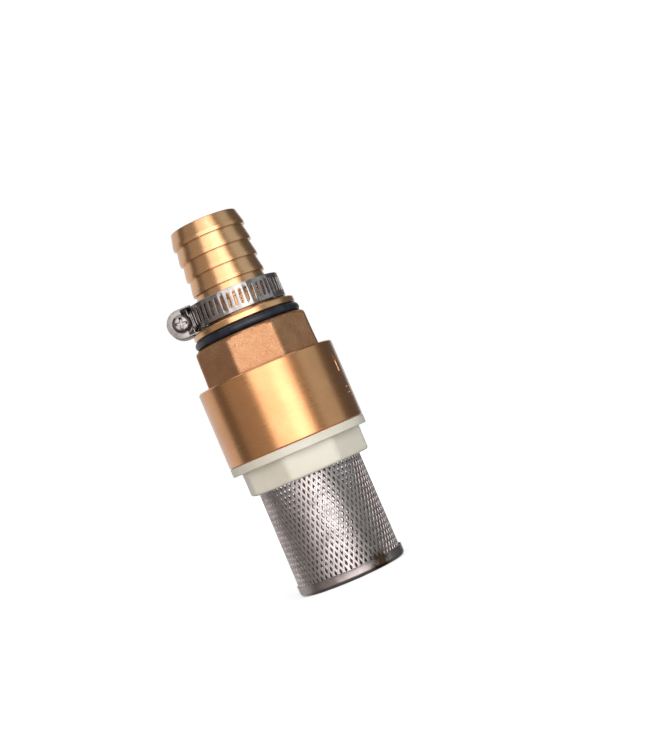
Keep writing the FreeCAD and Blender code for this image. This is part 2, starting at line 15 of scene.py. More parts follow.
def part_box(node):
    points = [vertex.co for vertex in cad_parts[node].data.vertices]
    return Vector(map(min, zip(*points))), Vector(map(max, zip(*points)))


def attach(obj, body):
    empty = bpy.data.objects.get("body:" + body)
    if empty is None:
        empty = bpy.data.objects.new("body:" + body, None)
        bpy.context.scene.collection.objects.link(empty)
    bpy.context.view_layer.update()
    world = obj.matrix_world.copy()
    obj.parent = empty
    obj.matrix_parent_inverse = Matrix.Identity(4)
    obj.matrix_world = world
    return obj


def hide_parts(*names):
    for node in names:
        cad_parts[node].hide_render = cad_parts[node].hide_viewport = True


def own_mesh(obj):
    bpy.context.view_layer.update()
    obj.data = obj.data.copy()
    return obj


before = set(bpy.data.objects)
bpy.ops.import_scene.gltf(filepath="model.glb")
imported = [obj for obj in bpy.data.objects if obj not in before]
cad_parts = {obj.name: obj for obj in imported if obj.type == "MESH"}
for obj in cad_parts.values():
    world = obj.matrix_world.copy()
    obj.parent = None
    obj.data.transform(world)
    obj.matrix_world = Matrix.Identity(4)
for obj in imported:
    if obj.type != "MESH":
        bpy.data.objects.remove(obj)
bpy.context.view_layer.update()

MM = 0.001
TAU = 2 * math.pi
PITCH = 2.309  # G1 thread
THREAD_STEP = 0.19  # between the points of an outline where a thread is cut
SHARP = math.radians(38)  # an edge that bends more than this is shaded sharp

FRONT = -TAU / 4
SEAM = FRONT + math.radians(33)  # where the strainer's seam is welded
MARKS = FRONT + math.radians(67)  # where the arrow and its two bars are cut

WORM_AT = 19.3  # distance of the worm's axis from the valve's
BAND_SLOTS = 48  # in one turn of the clamp's band


# ---------------------------------------------------------------- sizes from the frame

def low(node):
    """Height of a CAD node's underside."""
    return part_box(node)[0].z / MM


def high(node):
    """Height of a CAD node's top."""
    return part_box(node)[1].z / MM


def reach(node):
    """Largest radius of a CAD node."""
    return max(-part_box(node)[0].x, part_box(node)[1].x) / MM


# ---------------------------------------------------------------- mesh helpers

def outline(corners, steps=4):
    """Points through (radius, height, cut) corners. Where cut is given, the corner is rounded.

    A point on each side of a rounded corner, just beyond the rounding, keeps its shading there.
    """
    beyond = 1.35
    spots = [np.array(corner[:2], float) for corner in corners]
    line = []
    for i, corner in enumerate(corners):
        here = spots[i]
        if len(corner) < 3:
            line.append(here)
            continue
        ways = [spots[i - 1] - here, spots[(i + 1) % len(spots)] - here]
        ways = [way / np.linalg.norm(way) * corner[2] for way in ways]
        line.append(here + beyond * ways[0])
        for t in np.linspace(0, 1, steps + 1):
            line.append(here + (1 - t) ** 2 * ways[0] + t ** 2 * ways[1])
        line.append(here + beyond * ways[1])
    return np.array(line)


def divided(line, step, wanted):
    """The closed outline with each segment that wanted(middle) picks cut into short steps."""
    points = []
    for here, after in zip(line, np.roll(line, -1, axis=0)):
        points.append(here)
        parts = math.ceil(np.linalg.norm(after - here) / step)
        if parts > 1 and wanted((here + after) / 2):
            points += [here + (after - here) * i / parts for i in range(1, parts)]
    return np.array(points)


def evenly(count):
    """Angles of a full turn, evenly spread."""
    return np.arange(count) * TAU / count


def denser(angles, centres, spread, step):
    """Angles with more of them, a step apart, within spread of each centre."""
    extra = [centre + np.arange(-spread, spread + step / 2, step) for centre in centres]
    extra = np.concatenate(extra) % TAU
    near = np.abs((angles[:, None] - np.array(centres)[None] + math.pi) % TAU - math.pi)
    return np.sort(np.concatenate([angles[near.min(1) > spread + step / 2], extra]))


def grid(rows, columns, wrap_rows=True, wrap_columns=True):
    """Quads of a grid of points that may join up in either direction."""
    i, j = np.meshgrid(np.arange(rows - (not wrap_rows)),
                       np.arange(columns - (not wrap_columns)), indexing="ij")
    after_i, after_j = (i + 1) % rows, (j + 1) % columns
    corners = [i * columns + j, i * columns + after_j,
               after_i * columns + after_j, after_i * columns + j]
    return np.stack([c.ravel() for c in corners], axis=1)


def turned(line, angles, *shapes):
    """Points and faces of the closed outline turned about Z, its radii changed by each shape."""
    angle, radius = np.meshgrid(angles, line[:, 0])
    height = np.repeat(line[:, 1:], len(angles), axis=1)
    for shape in shapes:
        radius = shape(angle, radius, height)
    points = np.stack([radius * np.cos(angle), radius * np.sin(angle), height], axis=-1)
    return points.reshape(-1, 3), grid(len(line), len(angles))


def rolled(spots, radius, centre, true_at):
    """Flat (across, up) spots bent round Z at a radius, across being true to size at true_at."""
    angle = centre + spots[:, 0] / true_at
    return np.stack([radius * np.cos(angle), radius * np.sin(angle), spots[:, 1]], axis=1)


def joined(*parts):
    """Several (points, faces) pairs as one."""
    points, faces, start = [], [], 0
    for some_points, some_faces in parts:
        points.append(some_points)
        faces += [[start + k for k in face] for face in some_faces]
        start += len(some_points)
    return np.concatenate(points), faces


def piece(name, part, finish, body, slot, *nodes):
    """A piece from (points, faces) in millimetres, riding on body and standing for nodes."""
    points, faces = part
    mesh = bpy.data.meshes.new(name)
    mesh.from_pydata((np.asarray(points) * MM).tolist(), [], [list(map(int, f)) for f in faces])
    work = bmesh.new()
    work.from_mesh(mesh)
    bmesh.ops.remove_doubles(work, verts=work.verts, dist=1e-7)
    bmesh.ops.recalc_face_normals(work, faces=work.faces)
    work.to_mesh(mesh)
    work.free()
    mesh.shade_smooth()
    mesh.set_sharp_from_angle(angle=SHARP)
    mesh.materials.append(finish)
    made = bpy.data.objects.new(name, mesh)
    bpy.context.scene.collection.objects.link(made)
    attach(made, body)
    if nodes:
        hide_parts(*nodes)
    return made


def eased(x):
    """Smooth step from 0 to 1."""
    x = np.clip(x, 0, 1)
    return x * x * (3 - 2 * x)


def helical(radius_at, start, stop, depth, shift=0.0, run=1.2):
    """Shape that raises a right-hand thread on the stretch of outline at radius_at.

    A negative depth cuts an inner thread. It fades in and out over the length run.
    """
    root_flat, flank = 0.13, 0.74

    def shape(angle, radius, height):
        turns = height / PITCH - angle / TAU + shift
        wave = 1 - 2 * np.abs(turns % 1 - 0.5)
        ridge = np.clip((wave - root_flat) / flank, 0, 1)
        fade = eased(np.minimum(height - start, stop - height) / run)
        on = (np.abs(radius - radius_at) < 0.01) & (height > start) & (height < stop)
        return np.where(on, radius + depth * ridge * fade, radius)
    return shape


def octagon_radius(angle, apothem, turn, corner):
    """Radius of an octagon with rounded corners, a flat facing the angle turn."""
    eighth = TAU / 16
    from_vertex = (angle - turn) % (2 * eighth) - eighth
    flat = apothem / np.cos(eighth - np.abs(from_vertex))
    centre = (apothem - corner) / math.cos(eighth)
    inside = np.maximum(corner ** 2 - (centre * np.sin(from_vertex)) ** 2, 0)
    round_part = centre * np.cos(from_vertex) + np.sqrt(inside)
    end = np.arctan2(corner * math.sin(eighth), centre + corner * math.cos(eighth))
    return np.where(np.abs(from_vertex) < end, round_part, flat)


def corners_of(turn):
    """Angles of an octagon's corners, a flat facing the angle turn."""
    return [turn + (k + 0.5) * TAU / 8 for k in range(8)]


def uneven(angle, height, amount, seed):
    """Gentle random waves over a surface."""
    waves = 9
    rng = np.random.default_rng(seed)
    total = np.zeros_like(angle + height)
    for _ in range(waves):
        around, up, phase = rng.integers(2, 22), rng.uniform(-0.9, 0.9), rng.uniform(0, TAU)
        total += np.sin(around * angle + up * height + phase)
    return amount * total / math.sqrt(waves)


# ---------------------------------------------------------------- finishes

class Finish:
    """A material: a Principled shader whose inputs are fed by procedural nodes."""

    def __init__(self, name, **values):
        self.material = bpy.data.materials.new(name)
        self.material.use_nodes = True
        self.nodes = self.material.node_tree.nodes
        self.links = self.material.node_tree.links
        self.shader = self.nodes["Principled BSDF"]
        self.place = self.nodes.new("ShaderNodeTexCoord").outputs["Object"]
        for socket, value in values.items():
            self.shader.inputs[socket.replace("_", " ")].default_value = value

    def add(self, kind, settings=(), **inputs):
        """A node, its plain settings, and its inputs as values or other nodes' outputs."""
        node = self.nodes.new("ShaderNode" + kind)
        for key, value in dict(settings).items():
            setattr(node, key, value)
        for socket, value in inputs.items():
            self.feed(node.inputs[int(socket[1:]) if socket[1:].isdigit() else
                                  socket.replace("_", " ")], value)
        return node

    def feed(self, socket, value):
        """Link another node's output to a socket, or set its plain value."""
        if isinstance(value, bpy.types.NodeSocket):
            self.links.new(value, socket)
        else:
            socket.default_value = value

    def stretched(self, across, up):
        """The object's own coordinates, scaled across the axis and along it."""
        return self.add("Mapping", Vector=self.place, Scale=(across, across, up)).outputs[0]

    def noise(self, scale, detail=2.0, rough=0.5, at=None):
        """Noise from about 0.3 to 0.7, with scale cells to a metre of the place it is taken at."""
        node = self.add("TexNoise", Vector=at or self.place, Scale=scale, Detail=detail,
                        Roughness=rough)
        return node.outputs["Fac"]

    def between(self, factor, low, high, to_low=0.0, to_high=1.0):
        """Factor remapped from low..high to to_low..to_high, and held there."""
        node = self.add("MapRange", Value=factor, From_Min=low, From_Max=high, To_Min=to_low,
                        To_Max=to_high)
        return node.outputs[0]

    def mixed(self, factor, first, second):
        """One colour turning into another."""
        node = self.add("Mix", {"data_type": "RGBA"}, Factor=factor)
        self.feed(node.inputs[6], first)
        self.feed(node.inputs[7], second)
        return node.outputs[2]

    def sum(self, first, second):
        """First and second added up."""
        return self.add("Math", {"operation": "ADD"}, _0=first, _1=second).outputs[0]

    def product(self, first, second):
        """First multiplied by second."""
        return self.add("Math", {"operation": "MULTIPLY"}, _0=first, _1=second).outputs[0]

    def bumped(self, height, depth, strength=1.0, over=None):
        """Bump of depth metres, laid over an earlier bump if one is given."""
        node = self.add("Bump", Height=height, Distance=depth, Strength=strength)
        if over is not None:
            self.links.new(over, node.inputs["Normal"])
        return node.outputs[0]

    def finished(self, **inputs):
        """The material, once the shader's own inputs are fed."""
        for socket, value in inputs.items():
            self.feed(self.shader.inputs[socket.replace("_", " ")], value)
        return self.material


def colour(red, green, blue):
    """Linear colour from its 0 to 255 screen values."""
    return tuple((c / 255) ** 2.2 for c in (red, green, blue)) + (1.0,)


def turned_brass(name, light, dark):
    """Satin brass with the fine rings that a lathe leaves, and faint darker patches."""
    made = Finish(name, Metallic=1.0, Coat_Weight=0.8, Coat_Roughness=0.2)
    rings = made.noise(1.0, 3.0, 0.6, made.stretched(260, 16000))
    bands = made.noise(1.0, 2.0, 0.5, made.stretched(25, 2600))
    patches = made.noise(95.0, 4.0, 0.6)
    tone = made.mixed(made.between(patches, 0.35, 0.7), colour(*light), colour(*dark))
    tone = made.mixed(made.between(rings, 0.35, 0.75, 0.0, 0.35), tone, colour(205, 134, 84))
    rough = made.between(made.sum(patches, bands), 0.6, 1.4, 0.25, 0.33)
    bump = made.bumped(rings, 4e-6, 0.5)
    return made.finished(Base_Color=tone, Roughness=rough, Normal=bump)


def cast_brass():
    """Blasted casting: matt, with sandy grains and small darker pits."""
    made = Finish("cast_brass", Metallic=1.0)
    grain = made.noise(4200.0, 3.0, 0.7)
    pits = made.noise(1500.0, 2.0, 0.5)
    patches = made.noise(160.0, 4.0, 0.6)
    tone = made.mixed(made.between(patches, 0.35, 0.68), colour(210, 158, 118),
                      colour(192, 138, 100))
    tone = made.mixed(made.between(grain, 0.5, 0.66, 0.0, 0.8), tone, colour(148, 98, 66))
    rough = made.between(grain, 0.3, 0.7, 0.40, 0.56)
    bump = made.bumped(grain, 7e-5, 0.6)
    bump = made.bumped(pits, 1.4e-4, 0.45, bump)
    return made.finished(Base_Color=tone, Roughness=rough, Normal=bump)


def white_nylon():
    """Moulded nylon: off-white, a little light passes into it."""
    made = Finish("white_nylon", Subsurface_Weight=0.35, Subsurface_Scale=0.0016, IOR=1.53)
    made.shader.inputs["Subsurface Radius"].default_value = (1.0, 0.8, 0.6)
    cloud = made.noise(120.0, 3.0, 0.5)
    skin = made.noise(2600.0, 2.0, 0.5)
    tone = made.mixed(made.between(cloud, 0.35, 0.7), colour(243, 234, 217),
                      colour(236, 225, 204))
    rough = made.between(skin, 0.3, 0.7, 0.34, 0.46)
    return made.finished(Base_Color=tone, Roughness=rough, Normal=made.bumped(skin, 1.2e-5, 0.5))


def stainless(name, tones, rough, stained=False):
    """Bare stainless steel with rolling marks, and if stained, the heat tint of the seam weld.

    tones are its lighter and darker colour, and rough its least and greatest roughness.
    """
    made = Finish(name, Metallic=1.0)
    grain = made.noise(1.0, 3.0, 0.6, made.stretched(500, 7000))
    patches = made.noise(230.0, 4.0, 0.65)
    tone = made.mixed(made.between(patches, 0.35, 0.68), colour(*tones[0]), colour(*tones[1]))
    if stained:
        tone = seam_tint(made, tone)
    rough = made.between(made.sum(grain, patches), 0.6, 1.4, rough[0], rough[1])
    return made.finished(Base_Color=tone, Roughness=rough, Normal=made.bumped(grain, 5e-6, 0.5))


def seam_tint(made, tone):
    """Straw and brown heat colours round the line where the strainer's seam is welded.

    The stain keeps to the outside there, and fades above the cap's rim and further up the mesh.
    """
    along = made.add("VectorRotate", {"rotation_type": "Z_AXIS"}, Vector=made.place, Angle=-SEAM)
    split = made.add("SeparateXYZ", Vector=along.outputs[0])
    outward, sideways, height = split.outputs
    ragged = made.between(made.noise(420.0, 3.0, 0.6), 0.3, 0.7, -0.0012, 0.0016)
    off = made.sum(made.add("Math", {"operation": "ABSOLUTE"}, _0=sideways).outputs[0], ragged)
    amount = made.product(made.between(off, 0.0017, 0.0042, 1.0, 0.0),
                          made.between(outward, 0.014, 0.017))
    amount = made.product(amount, made.between(height, 0.0034, 0.006, 1.0, 0.5))
    amount = made.product(amount, made.between(height, 0.005, 0.03, 1.0, 0.4))
    tint = made.mixed(made.between(made.noise(700.0, 2.0), 0.4, 0.6), colour(94, 66, 54),
                      colour(92, 78, 58))
    return made.mixed(amount, tone, tint)


def plated_steel():
    """Bright zinc plate, slightly mottled."""
    made = Finish("plated_steel", Metallic=1.0)
    mottle = made.noise(900.0, 3.0, 0.6)
    tone = made.mixed(made.between(mottle, 0.35, 0.7), colour(168, 160, 157),
                      colour(140, 131, 129))
    rough = made.between(mottle, 0.3, 0.7, 0.2, 0.34)
    return made.finished(Base_Color=tone, Roughness=rough, Normal=made.bumped(mottle, 8e-6, 0.5))


def spring_wire():
    """Drawn stainless wire with faint drawing marks."""
    made = Finish("spring_wire", Metallic=1.0)
    marks = made.noise(1.0, 3.0, 0.6, made.stretched(900, 9000))
    tone = made.mixed(made.between(marks, 0.35, 0.7), colour(206, 206, 208),
                      colour(176, 175, 176))
    return made.finished(Base_Color=tone, Roughness=made.between(marks, 0.3, 0.7, 0.24, 0.36),
                         Normal=made.bumped(marks, 4e-6, 0.5))


def rubber():
    """Smooth black nitrile with a dusty, faintly blue bloom."""
    made = Finish("rubber", IOR=1.5)
    bloom = made.noise(350.0, 4.0, 0.65)
    skin = made.noise(5200.0, 2.0, 0.5)
    tone = made.mixed(made.between(bloom, 0.4, 0.72), colour(30, 34, 42), colour(52, 57, 68))
    rough = made.between(bloom, 0.3, 0.7, 0.28, 0.42)
    return made.finished(Base_Color=tone, Roughness=rough, Normal=made.bumped(skin, 1.5e-5, 0.5))


def acetal():
    """Moulded black acetal, a little waxy."""
    made = Finish("acetal", IOR=1.48)
    cloud = made.noise(260.0, 3.0, 0.5)
    skin = made.noise(3600.0, 2.0, 0.5)
    tone = made.mixed(made.between(cloud, 0.4, 0.7), colour(38, 38, 40), colour(54, 54, 56))
    rough = made.between(skin, 0.3, 0.7, 0.36, 0.48)
    return made.finished(Base_Color=tone, Roughness=rough, Normal=made.bumped(skin, 2e-5, 0.5))


BRASS = turned_brass("turned_brass", (238, 170, 112), (226, 157, 102))
# Paler copy of the turned brass for the hose tail: painted highlight, which makes the tail and its
# collar look as bright as the reflection of a lamp above
TAIL_BRASS_PAINTED_HIGHLIGHT = turned_brass("tail_brass_painted_highlight", (246, 190, 136), (236, 176, 122))
CAST = cast_brass()
NYLON = white_nylon()
MESH_STEEL = stainless("mesh_steel", ((206, 194, 190), (176, 164, 160)), (0.34, 0.48), True)
CAP_STEEL = stainless("cap_steel", ((190, 178, 173), (160, 147, 144)), (0.28, 0.42), True)
# Darker, rougher copy of the strip steel for the clamp's housing: painted shade, which makes the
# housing and its rim round the screw head look darker
HOUSING_STEEL_PAINTED_SHADE = stainless("housing_steel_painted_shade", ((170, 161, 157), (136, 127, 124)), (0.36, 0.5))
STRIP_STEEL = stainless("strip_steel", ((180, 174, 171), (152, 145, 143)), (0.2, 0.3))
ZINC = plated_steel()
WIRE = spring_wire()
RUBBER = rubber()
ACETAL = acetal()


# ---------------------------------------------------------------- strainer

def strainer_cap():
    """Thin pressed cup with a drawn lower edge and a slightly flared, uneven rim."""
    rim, top = reach("strainer_cap"), high("strainer_cap")
    wall, floor, edge, draft, flare = 0.35, 0.5, 1.1, 0.35, 0.12
    dents, dents_above, floor_reach, waves, wave = 0.045, 1.6, 15, 9, 0.09
    line = outline([
        (0, 0), (rim - edge, 0, 0.3), (rim - draft, edge * draft, 0.3), (rim, edge, 0.3),
        (rim, top - 0.5), (rim + flare, top, 0.08), (rim - wall + 0.05, top, 0.08),
        (rim - wall, floor, 0.25), (0, floor),
    ])
    line = divided(line, 1.6, lambda p: p[1] < floor + 0.1)

    def pressed(angle, radius, height):
        near_rim = eased((height - dents_above) / 2) * (radius > floor_reach)
        return radius + near_rim * uneven(angle, height, dents, 5)

    points, faces = turned(line, evenly(288), pressed)
    ripple = wave * np.sin(waves * np.arctan2(points[:, 1], points[:, 0]))
    points[:, 2] += np.where(points[:, 2] > top - 0.3, ripple, 0)
    piece("cap", (points, faces), CAP_STEEL, "strainer", "stainless_strip", "strainer_cap")


def strainer_mesh():
    """Expanded sheet rolled into a tube: wavy strands, each tilted, that meet at short bonds.

    Neighbouring strands mirror each other's waves. Where the sheet's two sides overlap, one lies
    outside the other.
    """
    bottom, top = low("strainer_mesh"), high("strainer_mesh")
    half_depth, columns, long_way, phase = 0.4, 64.2, 3.7, 0.23
    middle = reach("strainer_mesh") - half_depth
    step = TAU / columns / 2
    strand_width, thickness, tilt, bond = 0.83, 0.42, math.radians(-7), 0.3
    overlap, lift, lift_within = math.radians(24), 0.22, 2.4
    first = SEAM - overlap / 2 + phase * step
    count = int((TAU + overlap) / step)

    section = np.array([(-0.5, -0.1), (-0.38, 0.4), (0, 0.5), (0.38, 0.4), (0.5, -0.1), (0, -0.5)])
    wide, thick = (section * (strand_width, thickness)).T
    across = wide * math.cos(tilt) - thick * math.sin(tilt)
    rise = wide * math.sin(tilt) + thick * math.cos(tilt)

    share, swing = np.array([0.0, 0.13, 0.38, 0.62, 0.87]), np.array([0.0, 0.0, 0.33, 0.67, 1.0])
    halves = math.ceil((top - bottom) / (long_way / 2))
    heights = np.concatenate([bottom + (i + share) * long_way / 2 for i in range(halves)])
    side = np.concatenate([swing if i % 2 == 0 else 1 - swing for i in range(halves)])
    kept = heights <= top
    heights, side = heights[kept], side[kept]

    rows, around = len(heights), len(section)
    faces = grid(rows, around, wrap_rows=False).tolist()
    faces += [list(range(around)), list(range((rows - 1) * around, rows * around))]
    strands = []
    for k in range(count):
        lean = side if k % 2 == 0 else 1 - side
        turn = first + (k + lean + (0.5 - lean) * bond) * step
        out = middle + lift * math.tanh(lift_within * (2 * k / count - 1))
        slope = np.gradient(turn * middle, heights)
        along = 1 / np.sqrt(1 + slope ** 2)
        angle = turn[:, None] + across * along[:, None] / middle
        radius = np.broadcast_to(out + rise, angle.shape)
        height = np.clip(heights[:, None] - across * (slope * along)[:, None], bottom, top)
        points = np.stack([radius * np.cos(angle), radius * np.sin(angle), height], axis=-1)
        strands.append((points.reshape(-1, 3), faces))
    piece("mesh_tube", joined(*strands), MESH_STEEL, "strainer", "stainless_mesh",
          "strainer_mesh")


def strainer_adapter():
    """Moulded octagonal nut, flange and threaded spigot, with a groove that holds the mesh."""
    base, end, top = low("strainer_adapter"), high("strainer_adapter"), low("valve_body")
    flange, flange_rim = top - 2.8, 23.5
    apothem, corner, turn = 20.0, 3.2, FRONT + math.radians(6.7)
    groove, groove_inner = reach("strainer_mesh"), reach("strainer_mesh") - 0.7
    lip, lip_foot, groove_top = groove_inner - 1, base + 0.5, base + 3.9
    root, crest, bore = 15.15, 16.55, 12.8
    line = outline([
        (groove, base, 0.15), (apothem, base, 0.9), (apothem, flange, 0.15),
        (flange_rim, flange, 0.3), (flange_rim, top, 0.15), (root, top, 0.25), (root, end, 0.7),
        (bore, end, 0.5), (bore, top), (lip, flange - 1, 0.5), (lip, lip_foot, 0.2),
        (groove_inner, lip_foot), (groove_inner, groove_top), (groove, groove_top),
    ])
    line = divided(line, THREAD_STEP, lambda p: abs(p[0] - root) < 0.01 and p[1] > top)
    angles = denser(evenly(224), corners_of(turn), 0.1, 0.01)

    def nut(angle, radius, height):
        stretch = (radius - groove) / (apothem - groove)
        wide = octagon_radius(angle, apothem, turn, corner)
        on = (height < flange - 0.02) & (radius > groove + 0.01)
        return np.where(on, groove + stretch * (wide - groove), radius)

    part = turned(line, angles, nut, helical(root, top + 0.4, end - 0.6, crest - root))
    piece("adapter", part, NYLON, "strainer", "white_nylon", "strainer_adapter")


# ---------------------------------------------------------------- valve

def flow_marks(barrel, base):
    """Shape that cuts the arrow and two bars into the barrel's wall."""
    half_line, edge, depth = 0.225, 0.1, 0.28
    foot, neck, tip, wing = 15.6, 19.4, 22.2, 1.5
    bars, bar_half = (8.0, 10.0), 1.3

    def soft(distance):
        return np.clip(distance / edge + 0.5, 0, 1)

    def shape(angle, radius, height):
        across = ((angle - MARKS + math.pi) % TAU - math.pi) * barrel
        up = height - base
        shaft = soft(half_line - np.abs(across)) * soft(up - foot) * soft(neck + 0.1 - up)
        head = soft((tip - up) / (tip - neck) * wing - np.abs(across)) * soft(up - neck)
        cut = np.maximum(shaft, head)
        for bar in bars:
            inside = soft(half_line - np.abs(up - bar - half_line))
            cut = np.maximum(cut, inside * soft(bar_half - np.abs(across)))
        return np.where(np.abs(radius - barrel) < 0.01, radius - depth * cut, radius)
    return shape


def valve_body():
    """Turned barrel: inlet socket with a thread, seat web with a raised lip, and chamber."""
    base, top, barrel = low("valve_body"), high("valve_body"), reach("valve_body")
    chamfer, recess, recess_top = 0.4, 19.0, base + 1.5
    socket, thread_depth, socket_end = 16.7, 1.25, base + 10.8
    web, lip_top, lip_inner, port = base + 13.0, base + 13.48, base + 13.28, 12.25
    chamber, step, bonnet_bore = 19.5, base + 18.5, 20.55
    marks_low, marks_high, mark_step = base + 7.3, base + 22.8, 0.11
    line = outline([
        (recess, base, 0.15), (barrel - chamfer, base, 0.1), (barrel, base + chamfer, 0.1),
        (barrel, top - chamfer, 0.1), (barrel - chamfer, top, 0.1), (bonnet_bore, top, 0.2),
        (bonnet_bore, step), (chamber, step), (chamber, web, 0.4), (port + 1.8, web),
        (port + 1.2, lip_top, 0.1), (port + 0.2, lip_top, 0.1), (port, lip_inner),
        (port, socket_end, 0.3), (socket, socket_end), (socket, recess_top),
        (recess, recess_top),
    ])

    def outside(point):
        return point[0] > barrel - 0.01

    line = divided(line, THREAD_STEP, lambda p: abs(p[0] - socket) < 0.01)
    line = divided(line, mark_step, lambda p: outside(p) and marks_low < p[1] < marks_high)
    line = divided(line, 2.5, outside)
    angles = denser(evenly(180), [MARKS], 0.085, 0.0045)
    thread = helical(socket, recess_top + 0.2, socket_end - 1.0, -thread_depth, shift=0.5)
    piece("barrel", turned(line, angles, flow_marks(barrel, base), thread), BRASS, "valve",
          "machined_brass", "valve_body")


def outlet_bonnet():
    """Cast octagon, chamfered on the lathe, with the outlet thread and a skirt below."""
    base, top, foot = high("valve_body"), high("outlet_bonnet"), low("outlet_bonnet")
    skirt, inner, shelf, seat = 20.5, 18.4, 13.5, 16.45
    shelf_top, shelf_foot = base + 3.7, base + 1.9
    bore, thread_depth = 16.7, 1.25
    apothem, taper, corner, widest = 19.25, math.tan(math.radians(1.7)), 2.2, 22.4
    rim, slope, blunt = 18.0, 0.6, 0.18
    foot_round, foot_height, grain = 0.25, 0.5, 0.035
    far = 30.0  # stands for the octagon in the outline, until its shape gives the radius
    line = outline([
        (inner, foot), (skirt, foot), (skirt, base - 0.02), (far, base), (far, top),
        (rim, top, 0.1), (bore + 0.9, top, 0.1), (bore, top - 0.8, 0.1), (bore, shelf_top),
        (shelf, shelf_top, 0.2), (shelf, shelf_foot, 0.2), (seat, shelf_foot),
        (seat, base - 0.4), (inner, base - 1.2),
    ])
    line = divided(line, THREAD_STEP, lambda p: abs(p[0] - bore) < 0.01)
    line = divided(line, 0.09, lambda p: p[0] == far and p[1] > top - 2.0)
    line = divided(line, 0.5, lambda p: p[0] == far)
    turn = FRONT - math.radians(1.0)
    angles = denser(evenly(232), corners_of(turn), 0.085, 0.0085)

    def octagon(angle, radius, height):
        rise = height - base
        wide = octagon_radius(angle, apothem - rise * taper, turn, corner)
        cone = rim + (top - height) / slope
        soft = np.clip(0.5 + (cone - wide) / (2 * blunt), 0, 1)
        wide = cone * (1 - soft) + wide * soft - blunt * soft * (1 - soft)
        wide = wide + foot_round * eased(1 - rise / foot_height)
        wide = wide + uneven(angle, height, grain, 11) * eased((top - height) / 2)
        return np.where(radius == far, np.minimum(wide, widest), radius)

    thread = helical(bore, shelf_top + 0.2, top - 0.9, -thread_depth, shift=0.5)
    piece("bonnet", turned(line, angles, octagon, thread), CAST, "valve", "cast_brass",
          "outlet_bonnet")


def return_spring():
    """Round wire coiled between the poppet and the guide, with closed, ground ends."""
    start, stop = low("return_spring"), high("return_spring")
    wire, coil, turns, steps, around = 0.4, 7.4, 5.0, 241, 12
    closed, drawn_in, ground, sway = 0.75 / turns, 0.42, 0.08, 0.035
    share = np.linspace(0, 1, steps)
    angle = share * turns * TAU
    climb = np.clip((share - closed) / (1 - 2 * closed), 0, 1)
    climb = climb - sway * np.sin(climb * TAU)
    height = start + wire + climb * (stop - start - 2 * wire)
    from_end = np.minimum(share, 1 - share)
    radius = coil - drawn_in * np.clip(1 - from_end / closed, 0, 1)
    ring = evenly(around)
    out = radius[:, None] + wire * np.cos(ring)
    up = np.clip(height[:, None] + wire * np.sin(ring), start + ground, stop - ground)
    points = np.stack([out * np.cos(angle)[:, None], out * np.sin(angle)[:, None], up], axis=-1)
    faces = grid(steps, around, wrap_rows=False).tolist()
    faces += [list(range(around)), list(range((steps - 1) * around, steps * around))]
    made = piece("spring", (points.reshape(-1, 3), faces), WIRE, "valve", "spring_steel",
                 "return_spring")
    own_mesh(made)


# ---------------------------------------------------------------- hose tail and its O-ring

def tail_o_ring():
    """O-ring squeezed a little square, with a faint moulding line round it."""
    base, top, rim = low("tail_o_ring"), high("tail_o_ring"), reach("tail_o_ring")
    half, squareness, moulding_line = (top - base) / 2, 0.92, 0.03
    ring = evenly(40)
    out, up = [np.sign(way) * np.abs(way) ** squareness for way in (np.cos(ring), np.sin(ring))]
    line = np.stack([rim - half + half * out, base + half + half * up], axis=1)
    line[0, 0] += moulding_line
    piece("o_ring", turned(line, evenly(224)), RUBBER, "tail_seal", "black_rubber",
          "tail_o_ring")


def hose_tail():
    """Barbed tail above a collar, and a threaded spigot below it."""
    foot, top = low("hose_tail"), high("hose_tail")
    collar, collar_foot, chamfer = reach("hose_tail"), high("tail_o_ring") + 0.05, 0.4
    collar_top = collar_foot + 2.4
    root, crest, thread_top, neck, bore = 15.15, 16.55, collar_foot - 3.0, 15.2, 9.8
    barb, barb_root, tip, waist = 12.5, 11.7, 11.4, 11.8
    barbs, barb_pitch, land, edge = 5, 5.5, 1.2, 0.12
    first = collar_top + 6.0
    corners = [
        (bore, foot, 0.4), (root, foot, 0.6), (root, thread_top), (neck, thread_top),
        (neck, collar_foot, 0.2), (collar - chamfer, collar_foot, 0.1),
        (collar, collar_foot + chamfer, 0.1), (collar, collar_top - chamfer, 0.1),
        (collar - chamfer, collar_top, 0.1), (waist, collar_top, 0.5), (waist, first, 0.2),
    ]
    for start in (first + i * barb_pitch for i in range(barbs)):
        corners += [(barb, start, edge), (barb, start + land, edge)]
        if start + barb_pitch < top - 1:
            corners.append((barb_root, start + barb_pitch, 0.2))
    corners += [(tip, top, 0.2), (bore + 0.7, top, 0.1), (bore, top - 0.7, 0.1)]
    line = divided(outline(corners), THREAD_STEP, lambda p: abs(p[0] - root) < 0.01)
    thread = helical(root, foot + 0.5, thread_top - 0.1, crest - root)
    piece("tail", turned(line, evenly(256), thread), TAIL_BRASS_PAINTED_HIGHLIGHT, "tail", "machined_brass",
          "hose_tail")


# ---------------------------------------------------------------- hose clamp

def slotted_cell(cell_half, cell_up):
    """Flat outlines of a band's cell and of its upright slot, point for point.

    The third array holds each slot point's direction out of the slot.
    """
    slot_half, slot_end, count = 0.45, 2.05, 9
    sides, ends = np.linspace(-1, 1, count)[:-1], np.linspace(0, math.pi, count)[:-1]
    box, slot = [], []
    for flip in (1, -1):
        for s in sides:
            box.append((flip * cell_half, flip * s * cell_up))
            slot.append((flip * slot_half, flip * s * slot_end))
        for turn, s in zip(ends, sides):
            box.append((-flip * s * cell_half, flip * cell_up))
            slot.append((flip * slot_half * math.cos(turn),
                         flip * (slot_end + slot_half * math.sin(turn))))
    box, slot = np.array(box), np.array(slot)
    away = slot - np.stack([np.zeros(len(slot)), np.clip(slot[:, 1], -slot_end, slot_end)], 1)
    return box, slot, away / np.linalg.norm(away, axis=1)[:, None]


